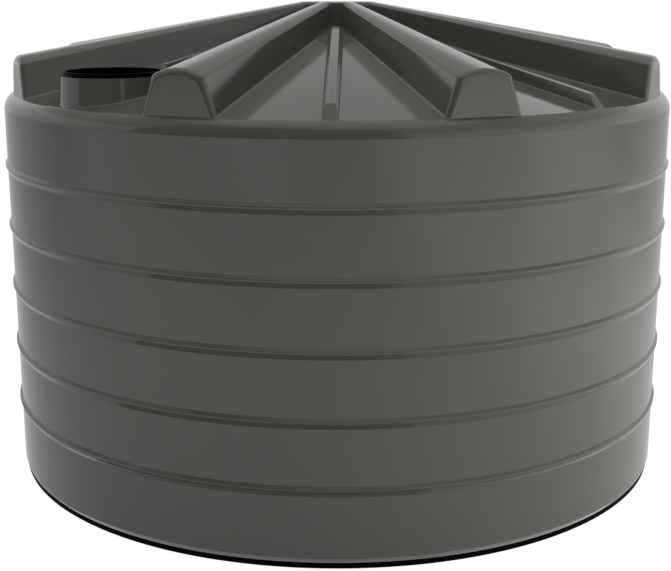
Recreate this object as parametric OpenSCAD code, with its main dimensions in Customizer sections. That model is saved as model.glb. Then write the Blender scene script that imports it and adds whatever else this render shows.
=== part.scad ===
// Round moulded water tank with a ribbed conical roof and an inlet with a strainer
// Millimetres, +Z up, origin at the centre of the underside, front is -Y

/* [Wall] */
// outside radius of the plain wall
wall_r = 1800; // [1200:5:2500]
// thickness of the moulded wall, roof and ribs
wall_t = 9; // [5:0.5:16]
// height of the crease where the shoulder meets the roof
eaves_z = 2038; // [1400:1:2800]
// distance from the face of the wall in to the crease where the shoulder meets the roof
eaves_in = 50; // [30:1:70]
// radius of the rounded shoulder
shoulder_r = 84; // [75:1:160]

/* [Foot] */
// height of the recessed foot
foot_h = 30; // [15:1:60]
// how far the foot is set back from the wall
foot_in = 10; // [10:1:40]
// radius of the rounding where the wall turns in to the foot
foot_round = 56; // [20:1:80]
// how far the wall turns in above the foot
foot_turn = 8; // [4:1:10]
// thickness of the flat floor
floor_t = 10; // [6:0.5:20]

/* [Hoops] */
// height of the middle of the lowest hoop
hoop_z = 381; // [200:1:500]
// spacing from hoop to hoop
hoop_pitch = 321; // [200:1:380]
// height of one hoop on the wall
hoop_h = 48; // [30:1:90]
// how far a hoop stands out
hoop_out = 12; // [5:1:25]
// height of the ledge on top of a hoop, above its upright face
hoop_ledge = 8; // [4:1:12]

/* [Roof] */
// pitch of the roof in degrees
roof_pitch = 12.1; // [6:0.1:25]
// radius of the raised crown that the main ribs run into
crown_r = 205; // [170:1:260]
// how far the crown stands above the tops of the main ribs
crown_lip = 1; // [0.5:0.5:20]
// radius of the rounded edge of the crown
crown_round = 12; // [10:1:25]

/* [Main ribs] */
// distance from the crease in to the outer end of a main rib
main_edge = 8; // [8:1:200]
// half width of a main rib on the roof at its outer end
main_foot_out = 188; // [120:1:190]
// half width of a main rib on the roof at the crown
main_foot_in = 55; // [40:1:65]
// half width of a main rib's top at its outer end
main_crown_out = 132; // [80:1:160]
// half width of a main rib's top at the crown
main_crown_in = 44; // [30:1:52]
// height of the sides above the roof at the outer end
main_side_out = 171; // [100:1:240]
// height of the sides above the roof at the crown
main_side_in = 118; // [80:1:200]
// rise of the curved top at the outer end
main_rise_out = 33; // [10:1:60]
// rise of the curved top at the crown
main_rise_in = 11; // [4:1:25]
// width of the bevel round the outer end of a main rib
main_bevel = 25; // [10:1:40]

/* [Small ribs] */
// distance from the crease in to the outer end of a small rib
small_edge = 8; // [8:1:200]
// distance from the crown to the inner end of a small rib
small_gap = 156; // [100:1:500]
// distance from the collar to the small rib behind it
small_clear = 11; // [5:1:200]
// how far the top stops short of the foot at the outer end
small_lean = 64; // [20:1:120]
// how far the top stops short of the foot at the steeper ends
small_steep = 37; // [10:1:80]
// width of the top of a small rib
small_top = 40; // [20:1:60]
// width of a small rib on the roof
small_foot = 69; // [62:1:120]
// height of a small rib above the roof
small_h = 54; // [20:1:90]

/* [Inlet] */
// direction of the inlet in degrees, seen from above, from the front
inlet_turn = -45; // [-135:45:180]
// distance from the crease in to the foot of the collar
inlet_edge = 14; // [8:1:300]
// height of the top of the collar above the roof at its middle
collar_up = 80.3; // [70:0.1:200]
// outside radius of the collar at its foot
collar_foot_r = 260; // [205:1:300]
// how much the collar narrows from its foot to its top
collar_taper = 9; // [2:1:30]
// thickness of the collar at its top
collar_t = 10; // [6:0.5:14]

/* [Strainer] */
// how far the flange of the strainer stays inside the collar's edge
flange_in = 2; // [1:0.5:5]
// how far the upstand of the strainer stays inside the collar's edge
strainer_in = 19; // [17:1:60]
// height of the upstand above the collar
strainer_up = 20; // [10:1:40]
// thickness of the strainer's plastic
strainer_t = 4; // [2:0.5:5]
// depth of the basket below the collar's top
basket_deep = 130; // [90:1:200]
// how much the basket narrows from the upstand to its bottom
basket_taper = 27; // [10:1:80]
// number of slots round the basket
slot_count = 24; // [8:1:30]
// width of one slot
slot_w = 24; // [8:1:30]
// height of the plain band below the slots
slot_foot = 30; // [10:1:40]
// height of the plain band above the slots
slot_head = 25; // [10:1:40]
// width of the ring and the bars of the frame that carries the mesh
mesh_bar = 8; // [4:0.5:14]

/* [Hidden] */
$fn = 96;
big = 6000;
eaves_r = wall_r - eaves_in;
slope = tan(roof_pitch);
apex_z = eaves_z + slope*eaves_r;
roof_drop = wall_t/cos(roof_pitch);
shoulder_mid = wall_r - shoulder_r;
shoulder_z = eaves_z - sqrt(shoulder_r*shoulder_r - (eaves_r - shoulder_mid)*(eaves_r - shoulder_mid));
foot_r = wall_r - foot_in;
turn_angle = acos(1 - foot_turn/foot_round);
turn_top = foot_h + foot_round*sin(turn_angle);
hoop_count = floor((shoulder_z - hoop_h - hoop_z)/hoop_pitch) + 1;
sector = 45;
main_end = eaves_r - main_edge;
main_dip = 60;
crown_foot = apex_z - slope*crown_r - roof_drop;
crown_top = apex_z - slope*crown_r + main_side_in + main_rise_in + crown_lip;
small_end = eaves_r - small_edge;
small_start = crown_r + small_gap;
small_dip = 6;
inlet_r = eaves_r - inlet_edge - collar_foot_r;
collar_z = apex_z - slope*inlet_r + collar_up;
collar_top_r = collar_foot_r - collar_taper;
collar_sink = 20;
collar_bore_r = collar_top_r - collar_t;
flange_r = collar_top_r - flange_in;
strainer_r = collar_top_r - strainer_in;
basket_foot_r = strainer_r - basket_taper;
mesh_z = collar_z - basket_deep;

// height of the roof's outer face at a radius
function roof_z(r) = apex_z - slope*r;

// share of the way from the crown to the outer end of a main rib
function along(s) = (s - crown_r)/(main_end - crown_r);
function mix(a, b, s) = a + (b - a)*along(s);

// radius of the arc that crowns a half width with a rise
function arc_r(half, rise) = (half*half + rise*rise)/(2*rise);

// whether the inlet stands on the panel in this direction
function has_inlet(turn) = abs(turn - inlet_turn) < sector/2;

// Wall and shoulder in section
module body_2d(inset) {
  polygon(concat(
    [[shoulder_mid - shoulder_r, -1], [foot_r - inset, -1]],
    [[foot_r - inset, foot_h + 0.6*inset]],
    [for (i = [0:6]) let (a = turn_angle*(1 - i/6))
      [wall_r - inset - foot_round*(1 - cos(a)), turn_top - foot_round*sin(a) + 0.6*inset*(a/turn_angle)]],
    [for (k = [0:hoop_count - 1], p = [
        [0, -hoop_h/2], [hoop_out, 0], [hoop_out, hoop_h/2 - hoop_ledge], [0, hoop_h/2]])
      [wall_r - inset + p[0], hoop_z + k*hoop_pitch + p[1]]],
    [[wall_r - inset, shoulder_z], [shoulder_mid - shoulder_r, shoulder_z]]
  ));
  intersection() {
    translate([shoulder_mid, shoulder_z]) circle(r = shoulder_r - inset);
    translate([shoulder_mid - 1, shoulder_z - 1]) square([shoulder_r + 2, shoulder_r + 2]);
  }
}

module wall_2d() {
  difference() {
    body_2d(0);
    body_2d(wall_t);
    translate([0, shoulder_z]) square([eaves_r, 2*shoulder_r]);
    translate([0, -2]) square([big, 2]);
  }
}

module wall_segment(turn) {
  color([0.33, 0.33, 0.30])
  rotate([0, 0, turn - 90 - sector/2]) rotate_extrude(angle = sector, $fn = 192) wall_2d();
}

// Space under the roof's outer face, up to a small distance below the apex
module under_roof(cut) {
  low = 138;
  translate([0, 0, eaves_z - low])
    cylinder(h = apex_z - eaves_z + low - cut, r1 = eaves_r + low/slope, r2 = cut/slope, $fn = 192);
}

// Main ribs
module main_slice(s, inset) {
  foot = mix(main_foot_in, main_foot_out, s);
  crown = mix(main_crown_in, main_crown_out, s);
  side = mix(main_side_in, main_side_out, s);
  rise = mix(main_rise_in, main_rise_out, s);
  lean = (foot - crown)/side;
  shoulder = roof_z(s) + side - inset;
  arc = arc_r(crown - inset, rise);
  swing = asin((crown - inset)/arc);
  translate([0, -s, 0]) rotate([90, 0, 0]) linear_extrude(height = 0.01) polygon(concat(
    [[-foot - main_dip*lean + inset, roof_z(s) - main_dip], [foot + main_dip*lean - inset, roof_z(s) - main_dip]],
    [for (i = [0:14]) let (a = swing*(1 - i/7))
      [arc*sin(a), shoulder + rise - arc*(1 - cos(a))]]
  ));
}

module main_body(inset) {
  start = crown_r - main_foot_in - inset;
  hull() {
    main_slice(start, inset);
    main_slice(main_end - main_bevel - inset/2, inset);
    main_slice(main_end - inset, main_bevel + inset);
  }
}

// Opening in the roof under the hollow of a main rib
module main_opening() {
  inner = crown_r + wall_t;
  outer = main_end - wall_t;
  half_in = mix(main_foot_in, main_foot_out, inner) - wall_t;
  half_out = mix(main_foot_in, main_foot_out, outer - main_bevel) - wall_t;
  linear_extrude(height = apex_z) polygon([
    [half_in, -inner], [half_out, -outer + main_bevel], [half_out - main_bevel, -outer],
    [main_bevel - half_out, -outer], [-half_out, -outer + main_bevel], [-half_in, -inner]]);
}

// Space of the crown, with the flat facets that the main ribs end on
module crown_space() {
  step = 7.5;
  linear_extrude(height = big) polygon([for (i = [0:47])
    [crown_r/cos(step/2)*cos((i + 0.5)*step), crown_r/cos(step/2)*sin((i + 0.5)*step)]]);
}

module main_rib(turn) {
  color([0.42, 0.42, 0.39])
  rotate([0, 0, turn])
  difference() {
    main_body(0);
    main_body(wall_t);
    under_roof(20);
    crown_space();
  }
}

// Small ribs, as a section along the slope cut by a profile with leaning ends
module small_rib(turn) {
  short = has_inlet(turn);
  near = small_start/cos(roof_pitch);
  far = (short ? inlet_r - collar_foot_r - small_clear : small_end)/cos(roof_pitch);
  lean = short ? small_steep : small_lean;
  dip = small_dip/small_h;
  flare = (small_foot - small_top)/2*dip;
  color([0.48, 0.48, 0.44])
  rotate([0, 0, turn])
  difference() {
    translate([0, 0, apex_z]) rotate([roof_pitch, 0, 0]) intersection() {
      rotate([90, 0, 0]) linear_extrude(height = far + small_foot)
        polygon([[-small_foot/2 - flare, -small_dip], [small_foot/2 + flare, -small_dip],
          [small_top/2, small_h], [-small_top/2, small_h]]);
      rotate([90, 0, -90]) linear_extrude(height = 2*small_foot, center = true)
        polygon([[near - small_steep*dip, -small_dip], [far + lean*dip, -small_dip],
          [far - lean, small_h], [near + small_steep, small_h]]);
    }
    under_roof(50);
  }
}

// Roof
module roof_panel(turn) {
  color([0.38, 0.38, 0.35])
  difference() {
    rotate([0, 0, turn - 90 - sector/2]) rotate_extrude(angle = sector, $fn = 192)
      polygon([[crown_r, roof_z(crown_r) - roof_drop], [eaves_r, eaves_z - roof_drop],
        [eaves_r, eaves_z], [crown_r, roof_z(crown_r)]]);
    for (side = [-1, 1]) rotate([0, 0, turn + side*sector/2]) main_opening();
    if (has_inlet(turn)) at_inlet() cylinder(h = apex_z, r = collar_bore_r);
  }
}

module roof_crown() {
  color([0.30, 0.30, 0.28])
  rotate_extrude($fn = 192) polygon(concat(
    [[crown_r - wall_t, crown_foot], [crown_r, crown_foot]],
    [for (i = [0:5]) let (a = 18*i)
      [crown_r - crown_round*(1 - cos(a)), crown_top - crown_round*(1 - sin(a))]],
    [[0, crown_top], [0, crown_top - wall_t], [crown_r - wall_t, crown_top - wall_t]]
  ));
}

module base_floor() {
  color([0.25, 0.25, 0.23]) cylinder(h = floor_t, r = foot_r - wall_t, $fn = 192);
}

// Inlet and strainer
module at_inlet() {
  rotate([0, 0, inlet_turn]) translate([0, -inlet_r, 0]) children();
}

module inlet_collar() {
  color([0.45, 0.45, 0.41])
  difference() {
    at_inlet() rotate([0, 0, 100]) translate([0, 0, eaves_z - collar_sink])
      cylinder(h = collar_z - eaves_z + collar_sink, r1 = collar_foot_r, r2 = collar_top_r);
    at_inlet() cylinder(h = big, r = collar_bore_r);
    under_roof(50);
  }
}

module strainer_rim() {
  color([0.05, 0.05, 0.05])
  at_inlet() translate([0, 0, collar_z]) difference() {
    union() {
      cylinder(h = strainer_t, r = flange_r);
      cylinder(h = strainer_up, r = strainer_r);
    }
    translate([0, 0, -1]) cylinder(h = strainer_up + 2, r = strainer_r - 2*strainer_t);
  }
}

module strainer_basket() {
  top_r = strainer_r - strainer_t;
  color([0.09, 0.09, 0.09])
  at_inlet() difference() {
    translate([0, 0, mesh_z]) cylinder(h = basket_deep, r1 = basket_foot_r, r2 = top_r);
    translate([0, 0, mesh_z - 0.01]) cylinder(h = basket_deep + 0.02, r1 = basket_foot_r - strainer_t, r2 = top_r - strainer_t);
    for (i = [0:slot_count - 1]) rotate([0, 0, i*360/slot_count])
      translate([0, -slot_w/2, mesh_z + slot_foot])
        cube([strainer_r + 10, slot_w, basket_deep - slot_foot - slot_head]);
  }
}

// Frame of the mesh: a ring with two crossed bars
module strainer_mesh() {
  inner = basket_foot_r - strainer_t;
  color([0.35, 0.35, 0.36])
  at_inlet() translate([0, 0, mesh_z]) {
    difference() {
      cylinder(h = strainer_t, r = inner);
      translate([0, 0, -1]) cylinder(h = strainer_t + 2, r = inner - mesh_bar);
    }
    for (a = [0, 90]) rotate([0, 0, a])
      translate([-mesh_bar/2, mesh_bar/2 - inner, 0]) cube([mesh_bar, 2*inner - mesh_bar, strainer_t]);
  }
}

module wall_front() wall_segment(0);
module wall_front_right() wall_segment(45);
module wall_right() wall_segment(90);
module wall_back_right() wall_segment(135);
module wall_back() wall_segment(180);
module wall_back_left() wall_segment(-135);
module wall_left() wall_segment(-90);
module wall_front_left() wall_segment(-45);
module roof_front() roof_panel(0);
module roof_front_right() roof_panel(45);
module roof_right() roof_panel(90);
module roof_back_right() roof_panel(135);
module roof_back() roof_panel(180);
module roof_back_left() roof_panel(-135);
module roof_left() roof_panel(-90);
module roof_front_left() roof_panel(-45);
module main_rib_1() main_rib(22.5);
module main_rib_2() main_rib(67.5);
module main_rib_3() main_rib(112.5);
module main_rib_4() main_rib(157.5);
module main_rib_5() main_rib(-157.5);
module main_rib_6() main_rib(-112.5);
module main_rib_7() main_rib(-67.5);
module main_rib_8() main_rib(-22.5);
module small_rib_front() small_rib(0);
module small_rib_front_right() small_rib(45);
module small_rib_right() small_rib(90);
module small_rib_back_right() small_rib(135);
module small_rib_back() small_rib(180);
module small_rib_back_left() small_rib(-135);
module small_rib_left() small_rib(-90);
module small_rib_front_left() small_rib(-45);

base_floor();
wall_front();
wall_front_right();
wall_right();
wall_back_right();
wall_back();
wall_back_left();
wall_left();
wall_front_left();
roof_front();
roof_front_right();
roof_right();
roof_back_right();
roof_back();
roof_back_left();
roof_left();
roof_front_left();
roof_crown();
main_rib_1();
main_rib_2();
main_rib_3();
main_rib_4();
main_rib_5();
main_rib_6();
main_rib_7();
main_rib_8();
small_rib_front();
small_rib_front_right();
small_rib_right();
small_rib_back_right();
small_rib_back();
small_rib_back_left();
small_rib_left();
small_rib_front_left();
inlet_collar();
strainer_rim();
strainer_basket();
strainer_mesh();
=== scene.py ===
# %% [markdown]
# # A round water tank
# The real tank is one hollow moulding of grey polyethylene: a wall with raised hoops, a low conical roof,
# eight deep ribs and eight small ones that stiffen the roof, and a collar that holds a black leaf strainer.
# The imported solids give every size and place, so this lesson only dresses them. It starts by loading them.

# %% Load the frame
import math

import bmesh
import bpy
from mathutils import Matrix, Vector


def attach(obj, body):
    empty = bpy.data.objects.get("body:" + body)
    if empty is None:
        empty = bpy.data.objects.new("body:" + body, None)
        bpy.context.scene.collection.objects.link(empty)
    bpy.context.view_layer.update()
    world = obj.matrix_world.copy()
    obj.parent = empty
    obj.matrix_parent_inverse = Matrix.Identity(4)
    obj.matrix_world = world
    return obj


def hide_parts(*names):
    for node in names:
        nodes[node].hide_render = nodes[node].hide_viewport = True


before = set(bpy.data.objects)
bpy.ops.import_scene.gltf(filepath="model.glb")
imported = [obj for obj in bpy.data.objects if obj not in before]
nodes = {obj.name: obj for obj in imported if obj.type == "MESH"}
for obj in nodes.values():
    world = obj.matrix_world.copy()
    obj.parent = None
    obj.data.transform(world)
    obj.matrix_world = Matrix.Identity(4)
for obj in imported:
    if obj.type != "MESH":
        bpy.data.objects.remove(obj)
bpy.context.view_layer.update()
print("solids loaded:", len(nodes))

# %% [markdown]
# The skins below repeat the tank's own sizes in metres, so that each one lies where its solid lies.
# The roof is a cone, so one small function gives its height at any radius.

# %% Sizes of the tank
WALL_R = 1.800
WALL_T = 0.009
EAVES_Z = 2.038
EAVES_R = 1.750
SHOULDER_R = 0.084
FOOT_H = 0.030
FOOT_IN = 0.010
FOOT_ROUND = 0.056
FOOT_TURN = 0.008
HOOP_COUNT = 5
HOOP_Z = 0.381
HOOP_PITCH = 0.321
HOOP_H = 0.048
HOOP_OUT = 0.012
HOOP_LEDGE = 0.013
ROOF_SLOPE = math.tan(math.radians(12.1))
CROWN_R = 0.205
CROWN_TOP = 2.4992
RIB_END = 1.742


def roof_z(r):
    """Height of the roof's outer face at a distance from the axis."""
    return EAVES_Z + ROOF_SLOPE * (EAVES_R - r)


print("roof rises from", EAVES_Z, "to", round(roof_z(CROWN_R), 3))

# %% [markdown]
# Every piece ends the same way: faces turned outwards, smooth shading with the real creases kept sharp,
# a ride on the tank's one body, the material that it is given, and the solid that it stands for, which is hidden.

# %% Finish a piece
ROOT = "root"


def finish_piece(name, bm, material, slot, *solids, crease=34):
    """Turns a bmesh into an object of the tank that stands for the named solids."""
    bmesh.ops.remove_doubles(bm, verts=bm.verts, dist=1e-5)
    bmesh.ops.recalc_face_normals(bm, faces=bm.faces)
    mesh = bpy.data.meshes.new(name)
    bm.to_mesh(mesh)
    bm.free()
    mesh.shade_smooth()
    mesh.set_sharp_from_angle(angle=math.radians(crease))
    mesh.materials.append(material)
    piece = bpy.data.objects.new(name, mesh)
    bpy.context.scene.collection.objects.link(piece)
    shading = piece.modifiers.new("even_shading", "WEIGHTED_NORMAL")
    shading.keep_sharp = True
    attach(piece, ROOT)
    if solids:
        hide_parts(*solids)
    print(name, len(mesh.polygons), "faces")
    return piece


# %% [markdown]
# The tank's grey plastic is moulded against the inside of a steel form. It comes out smooth but never
# flat: it has a faint pebble, a slow waviness, and a sheen that differs a little from place to place.
# The strainer is the same kind of plastic in black, so the effect is one shader group with inputs.

# %% Moulded skin, as a shader group
def moulded_skin():
    """A group that gives a colour, a roughness and a normal of moulded plastic."""
    group = bpy.data.node_groups.new("moulded_skin", "ShaderNodeTree")
    face = group.interface
    for title, kind, value in (
        ("Colour", "NodeSocketColor", (0.05, 0.05, 0.05, 1)),
        ("Mottle", "NodeSocketFloat", 0.1),
        ("Sheen", "NodeSocketFloat", 0.4),
        ("Sheen Change", "NodeSocketFloat", 0.08),
        ("Pebble", "NodeSocketFloat", 0.1),
        ("Waviness", "NodeSocketFloat", 0.1),
        ("Dust", "NodeSocketFloat", 0.1),
    ):
        socket = face.new_socket(name=title, in_out="INPUT", socket_type=kind)
        socket.default_value = value
    face.new_socket(name="Colour", in_out="OUTPUT", socket_type="NodeSocketColor")
    face.new_socket(name="Roughness", in_out="OUTPUT", socket_type="NodeSocketFloat")
    face.new_socket(name="Normal", in_out="OUTPUT", socket_type="NodeSocketVector")
    tree, link = group.nodes, group.links.new
    given, out = tree.new("NodeGroupInput"), tree.new("NodeGroupOutput")
    where = tree.new("ShaderNodeTexCoord")

    def noise(scale, detail, rough=0.5):
        node = tree.new("ShaderNodeTexNoise")
        node.inputs["Scale"].default_value = scale
        node.inputs["Detail"].default_value = detail
        node.inputs["Roughness"].default_value = rough
        link(where.outputs["Object"], node.inputs["Vector"])
        return node.outputs["Fac"]

    def maths(kind, a, b, c=None):
        node = tree.new("ShaderNodeMath")
        node.operation = kind
        for place, value in enumerate((a, b, c)):
            if value is None:
                continue
            if isinstance(value, (int, float)):
                node.inputs[place].default_value = value
            else:
                link(value, node.inputs[place])
        return node.outputs[0]

    cloud, speck = noise(1.7, 3), noise(34, 2)
    both = maths("MULTIPLY_ADD", speck, 0.3, maths("MULTIPLY", cloud, 0.7))
    centred = maths("SUBTRACT", both, 0.5)
    light = maths("MULTIPLY_ADD", maths("MULTIPLY", centred, given.outputs["Mottle"]), 2.0, 1.0)
    shade = tree.new("ShaderNodeVectorMath")
    shade.operation = "SCALE"
    link(given.outputs["Colour"], shade.inputs[0])
    link(light, shade.inputs["Scale"])

    surface = tree.new("ShaderNodeNewGeometry")
    split = tree.new("ShaderNodeSeparateXYZ")
    link(surface.outputs["Normal"], split.inputs[0])
    upward = maths("MAXIMUM", split.outputs["Z"], 0.0)
    patchy = maths("MULTIPLY", upward, noise(5, 6, 0.65))
    dusty = maths("MULTIPLY", patchy, given.outputs["Dust"])
    mix = tree.new("ShaderNodeMix")
    mix.data_type = "RGBA"
    mix.inputs["B"].default_value = (0.30, 0.29, 0.26, 1)
    link(dusty, mix.inputs["Factor"])
    link(shade.outputs[0], mix.inputs["A"])
    link(mix.outputs["Result"], out.inputs["Colour"])

    uneven = maths("SUBTRACT", noise(2.6, 4), 0.5)
    rough = maths("MULTIPLY_ADD", uneven, given.outputs["Sheen Change"], given.outputs["Sheen"])
    link(maths("ADD", rough, maths("MULTIPLY", dusty, 0.6)), out.inputs["Roughness"])

    slow = tree.new("ShaderNodeBump")
    slow.inputs["Distance"].default_value = 0.01
    link(given.outputs["Waviness"], slow.inputs["Strength"])
    link(noise(2.2, 1), slow.inputs["Height"])
    fine = tree.new("ShaderNodeBump")
    fine.inputs["Distance"].default_value = 0.0004
    link(given.outputs["Pebble"], fine.inputs["Strength"])
    link(noise(260, 2), fine.inputs["Height"])
    link(slow.outputs[0], fine.inputs["Normal"])
    link(fine.outputs[0], out.inputs["Normal"])
    return group


skin = moulded_skin()
print("shader group", skin.name, "has", len(skin.nodes), "nodes")


# %% Plastics
def plastic(name, colour, shine, **amounts):
    """A material that wears the moulded skin with its own amounts. The shine is one for bare plastic."""
    material = bpy.data.materials.new(name)
    material.use_nodes = True
    tree = material.node_tree
    shader = tree.nodes["Principled BSDF"]
    worn = tree.nodes.new("ShaderNodeGroup")
    worn.node_tree = skin
    worn.inputs["Colour"].default_value = (*colour, 1)
    for title, value in amounts.items():
        worn.inputs[title.replace("_", " ")].default_value = value
    tree.links.new(worn.outputs["Colour"], shader.inputs["Base Color"])
    tree.links.new(worn.outputs["Roughness"], shader.inputs["Roughness"])
    tree.links.new(worn.outputs["Normal"], shader.inputs["Normal"])
    shader.inputs["IOR"].default_value = 1.5
    shader.inputs["Specular IOR Level"].default_value = 0.5 * shine
    print("material", name)
    return material


grey_plastic = plastic(
    "grey_moulded_plastic", (0.060, 0.060, 0.053), 1.0,
    Mottle=0.08, Sheen=0.10, Sheen_Change=0.04, Pebble=0.04, Waviness=0.01, Dust=0.03,
)
black_plastic = plastic(
    "black_strainer_plastic", (0.0015, 0.0015, 0.0015), 0.04,
    Mottle=0.10, Sheen=0.45, Sheen_Change=0.05, Pebble=0.15, Waviness=0.0, Dust=0.0,
)

# %% Dull steel of the strainer's mesh
mesh_steel = bpy.data.materials.new("dull_mesh_steel")
mesh_steel.use_nodes = True
steel = mesh_steel.node_tree.nodes["Principled BSDF"]
steel.inputs["Metallic"].default_value = 1.0
steel.inputs["Base Color"].default_value = (0.20, 0.20, 0.20, 1)
steel_spots = mesh_steel.node_tree.nodes.new("ShaderNodeTexNoise")
steel_where = mesh_steel.node_tree.nodes.new("ShaderNodeTexCoord")
steel_range = mesh_steel.node_tree.nodes.new("ShaderNodeMapRange")
steel_spots.inputs["Scale"].default_value = 60
steel_range.inputs["To Min"].default_value = 0.35
steel_range.inputs["To Max"].default_value = 0.60
for source, target in (
    (steel_where.outputs["Object"], steel_spots.inputs["Vector"]),
    (steel_spots.outputs["Fac"], steel_range.inputs["Value"]),
    (steel_range.outputs["Result"], steel.inputs["Roughness"]),
):
    mesh_steel.node_tree.links.new(source, target)
print("material", mesh_steel.name)

# %% [markdown]
# A wall made on a lathe: one half of the section is drawn as a flat face, its corners are rounded by
# bevelling single vertices, and the outline is spun a full turn. That keeps the hoops, the rounded
# shoulder and the turned-in foot in one short list of corners, each with its own rounding.

# %% Lathe
def lathe(corners, steps, centre=(0.0, 0.0)):
    """Spins a closed section about the axis through centre. A corner is (r, z, rounding, segments)."""
    bm = bmesh.new()
    points = [bm.verts.new((corner[0], 0, corner[1])) for corner in corners]
    face = bm.faces.new(points)
    for point, corner in zip(points, corners):
        if corner[2] > 0:
            bmesh.ops.bevel(
                bm, geom=[point], offset=corner[2], segments=corner[3], affect="VERTICES",
                offset_type="OFFSET", profile=0.5, material=-1, clamp_overlap=False,
            )
    bmesh.ops.delete(bm, geom=list(bm.faces), context="FACES_ONLY")
    on_axis = [e for e in bm.edges if all(abs(v.co.x) < 1e-6 for v in e.verts)]
    bmesh.ops.delete(bm, geom=on_axis, context="EDGES")
    bmesh.ops.spin(
        bm, geom=list(bm.verts) + list(bm.edges), cent=(0, 0, 0), axis=(0, 0, 1),
        angle=math.tau, steps=steps, use_merge=True, use_duplicate=False,
    )
    bmesh.ops.translate(bm, verts=bm.verts, vec=(centre[0], centre[1], 0))
    return bm


# %% Wall with its hoops
shoulder_mid = WALL_R - SHOULDER_R
shoulder_z = EAVES_Z - math.sqrt(SHOULDER_R**2 - (EAVES_R - shoulder_mid) ** 2)
shoulder_turn = math.acos((EAVES_R - shoulder_mid) / SHOULDER_R)
foot_angle = math.acos(1 - FOOT_TURN / FOOT_ROUND)
foot_top = FOOT_H + FOOT_ROUND * math.sin(foot_angle)
foot_r = WALL_R - FOOT_IN


def wall_side(inset):
    """Corners of the wall's section from foot to eaves, moved in by inset."""
    reach = SHOULDER_R - inset
    tangent = reach * math.tan(shoulder_turn / 2)
    turn = FOOT_ROUND * math.tan(foot_angle / 2)
    side = [
        (foot_r - inset - 0.004, FOOT_H + 0.6 * inset, 0, 0),
        (WALL_R - inset - FOOT_TURN, FOOT_H + 0.6 * inset, 0.0015, 3),
        (WALL_R - inset, foot_top - turn, turn * 0.98, 8),
    ]
    for k in range(HOOP_COUNT):
        middle = HOOP_Z + k * HOOP_PITCH
        side += [
            (WALL_R - inset, middle - HOOP_H / 2, 0.003, 3),
            (WALL_R - inset + HOOP_OUT, middle, 0.006, 4),
            (WALL_R - inset + HOOP_OUT, middle + HOOP_H / 2 - HOOP_LEDGE, 0.003, 4),
            (WALL_R - inset, middle + HOOP_H / 2, 0.001, 2),
        ]
    lip = math.sqrt(reach**2 - (EAVES_R - shoulder_mid) ** 2)
    side += [(WALL_R - inset, shoulder_z + tangent, tangent * 0.985, 14), (EAVES_R, shoulder_z + lip, 0, 0)]
    return side


wall = lathe(wall_side(0.0) + wall_side(WALL_T)[::-1], 288)
wall_skin = finish_piece(
    "wall_skin", wall, grey_plastic, "tank_plastic",
    *[n for n in nodes if n.startswith("wall_")], crease=28,
)

# %% [markdown]
# The tank stands on a narrow foot under the wall, set back from it. On the real one it is the bottom edge
# of the same grey moulding, pressed on the ground, and the deep shade under the wall turns it into a black line.
# Here the foot is a short lathe piece of its own in near-black with almost no shine, a painted shade that
# gives the line a clean edge, which paint on the wall's own mesh would not.

# %% Foot
# Near-black and nearly without shine: painted shade for the dark gap where the wall meets the ground.
foot_shade_paint = plastic(
    "foot_painted_contact_shade", (0.001, 0.001, 0.001), 0.03,
    Mottle=0.10, Sheen=0.55, Sheen_Change=0.05, Pebble=0.20, Waviness=0.0, Dust=0.0,
)
foot = lathe(
    [
        (foot_r, 0.0, 0.003, 3),
        (foot_r, FOOT_H + 0.001, 0, 0),
        (foot_r - WALL_T, FOOT_H + 0.001, 0, 0),
        (foot_r - WALL_T, 0.0, 0, 0),
    ],
    288,
)
# The foot wears the painted shade, not a colour of its own.
foot_skin = finish_piece("foot_skin", foot, foot_shade_paint, "tank_plastic")

# %% [markdown]
# In the middle of the roof the deep ribs run into a raised crown, a flat-topped cup with a soft edge.
# It is the same lathe again, closed on the axis.

# %% Crown
cup_foot = roof_z(CROWN_R) - 0.009
crown = lathe(
    [
        (CROWN_R - WALL_T, cup_foot, 0, 0),
        (CROWN_R, cup_foot, 0, 0),
        (CROWN_R, CROWN_TOP, 0.0118, 8),
        (0.0, CROWN_TOP, 0, 0),
        (0.0, CROWN_TOP - WALL_T, 0, 0),
        (CROWN_R - WALL_T, CROWN_TOP - WALL_T, 0, 0),
    ],
    192,
)
crown_skin = finish_piece("crown_skin", crown, grey_plastic, "tank_plastic", "roof_crown")

# %% [markdown]
# Each deep rib is a hump that widens from the crown to the eaves. Its sides lean in, its top is an arc,
# its outer end is rounded over, and a hollow fillet runs where it turns into the roof or the crown. A cube
# with bevels can't taper all of that at once, so the rib is lofted. A section starts as a shoulder point
# that is spun into the arc. Its corners are rounded by a vertex bevel, and sections are then bridged.

# %% Section of a deep rib
RIB_FOOT = (0.055, 0.188)
RIB_TOP = (0.044, 0.132)
RIB_SIDE = (0.118, 0.171)
RIB_RISE = (0.011, 0.033)
RIB_ROUND = (0.005, 0.011)
RIB_HOLLOW = 0.010


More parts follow.
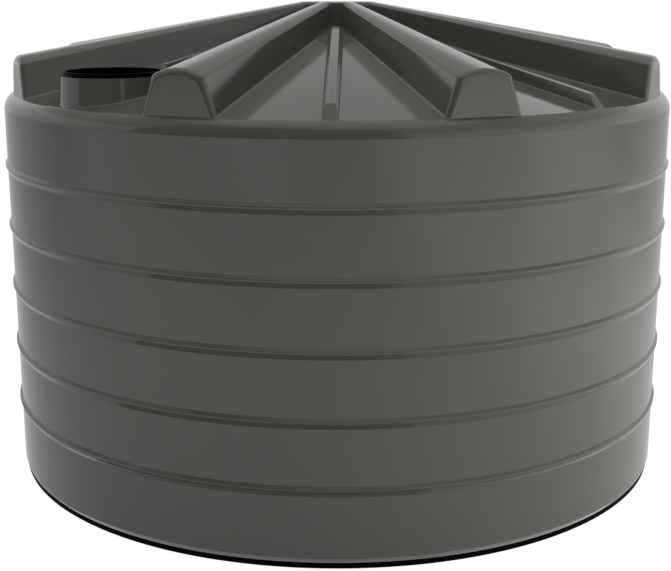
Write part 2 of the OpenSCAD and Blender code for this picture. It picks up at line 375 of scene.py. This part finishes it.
def rib_section(bm, s, inset=0.0, flare=0.0):
    """Draws a deep rib's section as one face across the rib, at the distance s from the axis."""
    share = (s - CROWN_R) / (RIB_END - CROWN_R)
    sizes_at = (RIB_FOOT, RIB_TOP, RIB_SIDE, RIB_RISE, RIB_ROUND)
    foot_w, top_w, side, rise, rounding = (a + (b - a) * share for a, b in sizes_at)
    foot_w, top_w = foot_w - inset + flare, top_w - inset + flare
    shoulder = roof_z(s) + side - inset
    arc = (top_w**2 + rise**2) / (2 * rise)
    foot_z = roof_z(math.hypot(foot_w, s))
    start = bm.verts.new((-top_w, -s, shoulder))
    before = set(bm.verts)
    bmesh.ops.spin(
        bm, geom=[start], cent=(0, -s, shoulder + rise - arc), axis=(0, 1, 0),
        angle=2 * math.asin(top_w / arc), steps=12, use_merge=False, use_duplicate=False,
    )
    top = [start] + sorted((v for v in bm.verts if v not in before), key=lambda v: v.co.x)
    sides = [
        [bm.verts.new((way * (foot_w + RIB_HOLLOW), -s, foot_z - 0.0010)), bm.verts.new((way * foot_w, -s, foot_z))]
        for way in (-1, 1)
    ]
    face = bm.faces.new(sides[0] + top + sides[1][::-1])
    for point, amount in ((top[0], rounding), (top[-1], rounding), (sides[0][1], RIB_HOLLOW * 0.94),
                          (sides[1][1], RIB_HOLLOW * 0.94)):
        bmesh.ops.bevel(
            bm, geom=[point], offset=amount, segments=4, affect="VERTICES",
            offset_type="OFFSET", profile=0.5, material=-1, clamp_overlap=False,
        )
    face = next(f for f in bm.faces if all(abs(v.co.y + s) < 1e-7 for v in f.verts))
    for v in face.verts:
        v.co.z = min(v.co.z, CROWN_TOP - 0.0003)
    return face


trial = bmesh.new()
print("corners in one section:", len(rib_section(trial, 1.0).verts))
trial.free()

# %% Stations of a deep rib
RIB_BEVEL = 0.025
BLEND_R = 0.022
blend_side = RIB_FOOT[0] + BLEND_R
blend_s = math.sqrt((CROWN_R + BLEND_R) ** 2 - blend_side**2)
blend_end = math.acos(blend_side / (CROWN_R + BLEND_R))
stations = [(0.186, 0.0, BLEND_R * (1 - math.cos(blend_end)))]
for k in range(6, 0, -1):
    turn = blend_end * k / 6
    stations.append((blend_s - BLEND_R * math.sin(turn), 0.0, BLEND_R * (1 - math.cos(turn))))
stations += [(blend_s + (RIB_END - RIB_BEVEL - blend_s) * k / 6, 0.0, 0.0) for k in range(6)]
for k in range(8):
    turn = math.radians(90 * k / 7)
    stations.append((RIB_END - RIB_BEVEL * (1 - math.sin(turn)), RIB_BEVEL * (1 - math.cos(turn)), 0.0))
print("stations:", len(stations), "from", stations[0][0], "to", round(stations[-1][0], 3))


# %% Deep ribs
def deep_rib(turn):
    """Lofts one deep rib and turns it to its place round the roof."""
    bm = bmesh.new()
    faces = [rib_section(bm, *station) for station in stations]
    for near, far in zip(faces, faces[1:]):
        bmesh.ops.bridge_loops(bm, edges=list(near.edges) + list(far.edges))
    bmesh.ops.delete(bm, geom=faces[1:-1], context="FACES_ONLY")
    bmesh.ops.rotate(bm, verts=bm.verts, cent=(0, 0, 0), matrix=Matrix.Rotation(turn, 3, "Z"))
    return bm


for number in range(1, 9):
    turn = math.radians(22.5 + 45 * (number - 1))
    finish_piece(f"deep_rib_{number}", deep_rib(turn), grey_plastic, "tank_plastic", f"main_rib_{number}")

# %% [markdown]
# Between the deep ribs lies a small one, a low bar with leaning ends. It is box work: a thin slab is
# inset, the inset face is raised and narrowed, and then the edges are bevelled. The bevel at the foot
# hollows the strip that the inset left, so the bar grows out of the roof as a moulding does.

# %% Small ribs
SMALL_START, SMALL_END, SMALL_SHORT = 0.361, 1.742, 1.205
SMALL_FOOT, SMALL_TOP, SMALL_H = 0.070, 0.043, 0.054
SMALL_LEAN, SMALL_STEEP = 0.064, 0.037
SMALL_HOLLOW = 0.007
pitch = math.atan(ROOF_SLOPE)
apex = roof_z(0.0)


def small_rib(turn, end, lean):
    """Makes one small rib from its foot at the crown side to its foot at the end."""
    near, far = SMALL_START / math.cos(pitch), end / math.cos(pitch)
    bm = bmesh.new()
    bmesh.ops.create_cube(bm, size=1.0)
    slab = (SMALL_FOOT + 2 * SMALL_HOLLOW, far - near + 2 * SMALL_HOLLOW, 0.006)
    bmesh.ops.scale(bm, vec=slab, verts=bm.verts)
    bmesh.ops.translate(bm, vec=(0, -(near + far) / 2, -0.0038), verts=bm.verts)
    lid = max(bm.faces, key=lambda f: f.calc_center_median().z)
    bmesh.ops.inset_region(bm, faces=[lid], thickness=SMALL_HOLLOW, depth=0.0008, use_even_offset=True)
    foot_edges = list(lid.edges)
    raised = bmesh.ops.extrude_face_region(bm, geom=[lid])["geom"]
    bmesh.ops.delete(bm, geom=[lid], context="FACES_ONLY")
    top = [v for v in raised if isinstance(v, bmesh.types.BMVert)]
    bmesh.ops.translate(bm, vec=(0, 0, SMALL_H), verts=top)
    for v in top:
        v.co.x *= SMALL_TOP / SMALL_FOOT
        v.co.y += lean if v.co.y < -(near + far) / 2 else -SMALL_STEEP
    top_edges = [e for e in bm.edges if all(v in top for v in e.verts)]
    uprights = [e for e in bm.edges if sum(v in top for v in e.verts) == 1]
    bmesh.ops.bevel(
        bm, geom=top_edges + uprights, offset=0.004, segments=3, affect="EDGES",
        offset_type="OFFSET", profile=0.5, material=-1, clamp_overlap=False,
    )
    level = [e for e in bm.edges if all(abs(v.co.z) < 1e-5 for v in e.verts)]
    bmesh.ops.bevel(
        bm, geom=level, offset=SMALL_HOLLOW * 0.9, segments=4, affect="EDGES",
        offset_type="OFFSET", profile=0.5, material=-1, clamp_overlap=False,
    )
    place = Matrix.Rotation(turn, 4, "Z") @ Matrix.Translation((0, 0, apex)) @ Matrix.Rotation(pitch, 4, "X")
    bmesh.ops.transform(bm, matrix=place, verts=bm.verts)
    return bm


COMPASS = ("front", "front_right", "right", "back_right", "back", "back_left", "left", "front_left")
for number, way in enumerate(COMPASS):
    short = way == "front_left"
    bar = small_rib(
        math.radians(45 * number), SMALL_SHORT if short else SMALL_END, SMALL_STEEP if short else SMALL_LEAN,
    )
    finish_piece(f"small_bar_{way}", bar, grey_plastic, "tank_plastic", f"small_rib_{way}")

# %% [markdown]
# The inlet's collar is a plain ring that rises out of the sloping roof, level at its top. It is turned
# on the lathe as if the roof were flat, and then its lowest points are dropped on the cone, so the foot
# follows the slope and the lip stays level.

# %% Collar
INLET_R = 1.476
COLLAR_Z = 2.17705
COLLAR_FOOT_R, COLLAR_TOP_R, COLLAR_T = 0.260, 0.251, 0.010
inlet = (-INLET_R * math.sin(math.radians(45)), -INLET_R * math.cos(math.radians(45)))
collar_foot = roof_z(INLET_R)
collar = lathe(
    [
        (COLLAR_TOP_R - COLLAR_T, collar_foot - 0.012, 0, 0),
        (COLLAR_FOOT_R + 0.010, collar_foot - 0.012, 0, 0),
        (COLLAR_FOOT_R + 0.010, collar_foot - 0.001, 0, 0),
        (COLLAR_FOOT_R, collar_foot, 0.0095, 5),
        (COLLAR_TOP_R, COLLAR_Z, 0.0020, 4),
        (COLLAR_TOP_R - COLLAR_T, COLLAR_Z, 0.0020, 4),
    ],
    144, inlet,
)
for v in collar.verts:
    if v.co.z < collar_foot + 0.015:
        v.co.z += roof_z(math.hypot(v.co.x, v.co.y)) - collar_foot
collar_skin = finish_piece("collar_skin", collar, grey_plastic, "tank_plastic", "inlet_collar", crease=50)

# %% [markdown]
# The strainer hangs in the collar by a flange. Its rim is one more lathe piece in black, with a hollow
# where the upstand meets the flange. The basket below keeps its solid, whose slots are exact already.

# %% Rim of the strainer
STRAINER_R = 0.232
rim = lathe(
    [
        (STRAINER_R - 0.008, COLLAR_Z, 0, 0),
        (0.2502, COLLAR_Z, 0.001, 2),
        (0.2502, COLLAR_Z + 0.004, 0.0015, 3),
        (STRAINER_R, COLLAR_Z + 0.004, 0.002, 3),
        (STRAINER_R, COLLAR_Z + 0.020, 0.003, 4),
        (STRAINER_R - 0.008, COLLAR_Z + 0.020, 0.003, 4),
    ],
    144, inlet,
)
rim_skin = finish_piece("rim_skin", rim, black_plastic, "strainer_plastic", "strainer_rim")

# %% [markdown]
# A woven mesh closes the bottom of the basket and keeps leaves and insects out. The solid is only the
# frame that carries it. Each wire is a thin four-sided tube, extruded from crossing to crossing and moved
# up and down by turns, so the two sets of wires really pass over and under each other.

# %% Woven mesh
WIRE_PITCH, WIRE_R = 0.010, 0.0009
mesh_r = 0.200
weave = bmesh.new()
rows = int(mesh_r / WIRE_PITCH)
for set_turn in (0.0, math.pi / 2):
    for row in range(-rows, rows + 1):
        half = math.floor(math.sqrt(max(mesh_r**2 - (row * WIRE_PITCH) ** 2, 0)) / WIRE_PITCH)
        if half == 0:
            continue
        across = Matrix.Translation((-half * WIRE_PITCH, row * WIRE_PITCH, 0)) @ Matrix.Rotation(math.pi / 2, 4, "Y")
        ring = bmesh.ops.create_circle(weave, cap_ends=True, segments=4, radius=WIRE_R, matrix=across)["verts"]
        ends = list({e for v in ring for e in v.link_edges})
        points = list(ring)
        up = 1 if (row + half) % 2 == (set_turn > 0) else -1
        bmesh.ops.translate(weave, verts=ring, vec=(0, 0, up * WIRE_R))
        for _ in range(2 * half):
            up = -up
            grown = bmesh.ops.extrude_edge_only(weave, edges=ends)["geom"]
            ring = [g for g in grown if isinstance(g, bmesh.types.BMVert)]
            ends = [g for g in grown if isinstance(g, bmesh.types.BMEdge) and all(v in ring for v in g.verts)]
            bmesh.ops.translate(weave, verts=ring, vec=(WIRE_PITCH, 0, up * 2 * WIRE_R))
            points += ring
        bmesh.ops.holes_fill(weave, edges=ends, sides=4)
        bmesh.ops.rotate(weave, verts=points, cent=(0, 0, 0), matrix=Matrix.Rotation(set_turn, 3, "Z"))
bmesh.ops.translate(weave, verts=weave.verts, vec=(inlet[0], inlet[1], COLLAR_Z - 0.130 + 0.006))
woven_mesh = finish_piece("woven_mesh", weave, mesh_steel, "strainer_mesh")

# %% [markdown]
# The camera stands where the photograph was taken: seven metres away, a little above the roof, with the
# small turn and shift that bring every edge of the solids onto the picture.

# %% Camera
CAMERA_AWAY = 7.010
CAMERA_UP = 2.614
CAMERA_TURN = math.radians(0.93)
camera_data = bpy.data.cameras.new("camera")
camera_data.lens = 66.83
camera_data.sensor_width = 36
camera_data.shift_x = -1.55 / 671
camera_data.clip_end = 200
camera = bpy.data.objects.new("camera", camera_data)
bpy.context.scene.collection.objects.link(camera)
camera.location = (CAMERA_AWAY * math.sin(CAMERA_TURN), -CAMERA_AWAY * math.cos(CAMERA_TURN), CAMERA_UP)
camera.rotation_euler = (math.radians(90 - 13.783), 0, CAMERA_TURN)
bpy.context.scene.camera = camera

# %% [markdown]
# The floor is plain and pale. To the camera it has to end in white, like the page behind the tank, but it
# must keep the tank's shadow. So it glows, for rays that come from the camera or from a reflection, and
# the light that falls on it is left as it is. The plastic mirrors the floor, so for reflections the glow
# has levels: pale far off, dark close in front, where the undersides of the hoops show it, and a thin
# gleam along the foot.

# %% Floor
FLOOR_R = 34.0
floor_bm = bmesh.new()
bmesh.ops.create_circle(floor_bm, cap_ends=True, segments=96, radius=FLOOR_R)
floor_mesh = bpy.data.meshes.new("floor")
floor_bm.to_mesh(floor_mesh)
floor_bm.free()
floor = bpy.data.objects.new("floor", floor_mesh)
bpy.context.scene.collection.objects.link(floor)


def maths(tree, kind, a, b):
    """One sum of two values, each a number or an output."""
    node = tree.nodes.new("ShaderNodeMath")
    node.operation = kind
    for place, value in enumerate((a, b)):
        if isinstance(value, float):
            node.inputs[place].default_value = value
        else:
            tree.links.new(value, node.inputs[place])
    return node.outputs[0]


def ramp(tree, value, low, high, at_low, at_high):
    """Maps a value between two limits to two levels."""
    node = tree.nodes.new("ShaderNodeMapRange")
    node.interpolation_type = "SMOOTHSTEP"
    for title, number in (("From Min", low), ("From Max", high), ("To Min", at_low), ("To Max", at_high)):
        node.inputs[title].default_value = number
    tree.links.new(value, node.inputs["Value"])
    return node.outputs["Result"]


def seen(tree):
    """Two masks: rays from the camera, and rays from a reflection or through glass."""
    path = tree.nodes.new("ShaderNodeLightPath").outputs
    return path["Is Camera Ray"], maths(tree, "MAXIMUM", path["Is Glossy Ray"], path["Is Transmission Ray"])


floor_paint = bpy.data.materials.new("pale_floor")
floor_paint.use_nodes = True
paint = floor_paint.node_tree
matt = paint.nodes["Principled BSDF"]
matt.inputs["Base Color"].default_value = (0.22, 0.22, 0.22, 1)
matt.inputs["Roughness"].default_value = 0.9
matt.inputs["Specular IOR Level"].default_value = 0.0
matt.inputs["Emission Color"].default_value = (1, 1, 1, 1)
facing = paint.nodes.new("ShaderNodeLayerWeight").outputs["Facing"]
spot = paint.nodes.new("ShaderNodeTexCoord").outputs["Object"]
spot_parts = paint.nodes.new("ShaderNodeSeparateXYZ")
paint.links.new(spot, spot_parts.inputs[0])


def vector_maths(tree, kind, value, other=None):
    """One sum of a vector, with a fixed second vector where the sum needs one."""
    node = tree.nodes.new("ShaderNodeVectorMath")
    node.operation = kind
    tree.links.new(value, node.inputs[0])
    if other:
        node.inputs[1].default_value = other
    return node.outputs["Value" if kind in ("LENGTH", "DOT_PRODUCT") else "Vector"]


def way(degrees):
    """Level direction, counted from the front to the right."""
    return (math.sin(math.radians(degrees)), -math.cos(math.radians(degrees)), 0)


by_camera, by_mirror = seen(paint)
front = ramp(paint, spot_parts.outputs["Y"], -4.0, 2.0, 0.80, 0.47)
right = ramp(paint, spot_parts.outputs["X"], 2.0, 6.0, 0.0, 0.35)
right = maths(paint, "MULTIPLY", right, ramp(paint, spot_parts.outputs["Y"], 0.5, 4.0, 1.0, 0.0))
far = maths(paint, "MULTIPLY", maths(paint, "ADD", front, right), ramp(paint, facing, 0.42, 0.54, 0.0, 1.0))
aside = vector_maths(paint, "DOT_PRODUCT", vector_maths(paint, "NORMALIZE", spot), way(-17))
near = ramp(paint, aside, 0.82, 0.84, 0.34, 0.0)
near = maths(paint, "MULTIPLY", near, ramp(paint, facing, 0.42, 0.54, 1.0, 0.0))
edge_gleam = ramp(paint, vector_maths(paint, "LENGTH", spot), 1.84, 1.91, 1.6, 0.0)
edge_gleam = maths(paint, "MULTIPLY", edge_gleam, ramp(paint, facing, 0.35, 0.50, 1.0, 0.0))
mirrored = maths(paint, "MULTIPLY", by_mirror, maths(paint, "ADD", maths(paint, "ADD", far, near), edge_gleam))
glow = maths(paint, "ADD", maths(paint, "MULTIPLY", by_camera, 0.94), mirrored)
paint.links.new(glow, matt.inputs["Emission Strength"])
floor_mesh.materials.append(floor_paint)
print("floor", floor_mesh.name)

# %% [markdown]
# The plastic is glossy, so most of its modelling comes from what it reflects: a pale backdrop low behind
# the tank, a half-bright ceiling above it, pale sides, and one dark part of the room in front on the left.
# The world holds these as a level that changes with the direction. The camera sees plain white, and rough
# surfaces get one even level.

# %% World
world = bpy.data.worlds.new("studio")
bpy.context.scene.world = world
world.use_nodes = True
sky = world.node_tree
background = sky.nodes["Background"]
background.inputs["Color"].default_value = (1, 1, 1, 1)


def blend(share, first, second):
    """A mix of two levels, which may be numbers or outputs."""
    node = sky.nodes.new("ShaderNodeMix")
    node.data_type = "FLOAT"
    sky.links.new(share, node.inputs["Factor"])
    for title, value in (("A", first), ("B", second)):
        if isinstance(value, float):
            node.inputs[title].default_value = value
        else:
            sky.links.new(value, node.inputs[title])
    return node.outputs["Result"]


looks = sky.nodes.new("ShaderNodeTexCoord")
part = sky.nodes.new("ShaderNodeSeparateXYZ")
sky.links.new(looks.outputs["Generated"], part.inputs[0])
level_way = sky.nodes.new("ShaderNodeCombineXYZ")
for title in ("X", "Y"):
    sky.links.new(part.outputs[title], level_way.inputs[title])
towards = vector_maths(sky, "DOT_PRODUCT", vector_maths(sky, "NORMALIZE", level_way.outputs[0]), way(-23))
up = part.outputs["Z"]
to_right = maths(sky, "MULTIPLY", ramp(sky, part.outputs["X"], 0.80, 0.94, 0.0, 0.35), ramp(sky, up, 0.0, 0.3, 1.0, 0.0))
backdrop = maths(sky, "ADD", ramp(sky, up, 0.02, 0.22, 0.70, 0.85), to_right)
ceiling = blend(ramp(sky, up, 0.84, 0.92, 0.0, 1.0), 0.43, 0.82)
pale_room = blend(ramp(sky, up, 0.37, 0.52, 0.0, 1.0), backdrop, ceiling)
dark_side = ramp(sky, towards, 0.67, 0.71, 0.0, 1.0)
dark_part = maths(sky, "MULTIPLY", dark_side, ramp(sky, up, 0.84, 0.90, 1.0, 0.0))
room = blend(dark_part, pale_room, 0.10)
by_camera, by_mirror = seen(sky)
level = blend(by_camera, blend(by_mirror, 0.30, room), 1.0)
sky.links.new(level, background.inputs["Strength"])
print("world", world.name)

# %% [markdown]
# Three soft lamps do the rest. A large one overhead lights the roof and throws the soft shadow on the
# floor. Two low ones light the wall from the right and the front. They stand below the eaves, so the sides
# of the far ribs stay dark. All are kept out of the reflections, which would show them as white squares.


# %% Lamps
def softbox(name, place, target, size, power, spread=180):
    """A rectangular lamp that looks at a point. A small spread keeps its light off the floor."""
    lamp = bpy.data.lights.new(name, "AREA")
    lamp.shape = "RECTANGLE"
    lamp.size, lamp.size_y = size
    lamp.energy = power
    lamp.spread = math.radians(spread)
    box = bpy.data.objects.new(name, lamp)
    box.location = place
    box.rotation_euler = (Vector(target) - Vector(place)).to_track_quat("-Z", "Y").to_euler()
    box.visible_camera = False
    box.visible_glossy = False
    bpy.context.scene.collection.objects.link(box)
    return box


softbox("overhead", (0, 0.5, 7.0), (0, 0, 1), (6, 6), 400)
softbox("right_side", (6.77, -2.46, 1.0), (0, 0, 1.0), (3, 1.6), 105, spread=75)
softbox("front_left", (-4.65, -9.97, 0.6), (0, 0, 1.3), (5, 1), 30, spread=40)
softbox("back", (-2.0, 10.8, 0.6), (0, 0, 1.3), (5, 1), 30, spread=40)
bpy.context.scene.view_settings.view_transform = "Standard"

# %% [markdown]
# The solids that are still plain, the roof's panels, the floor of the tank and the basket, are exact
# cones and cylinders. They keep their meshes and only take their finishes.

# %% Finishes of the solids
for name, node in nodes.items():
    finish = grey_plastic
    if name in ("strainer_rim", "strainer_basket"):
        finish = black_plastic
    if name == "strainer_mesh":
        finish = mesh_steel
    node.data.materials.clear()
    node.data.materials.append(finish)
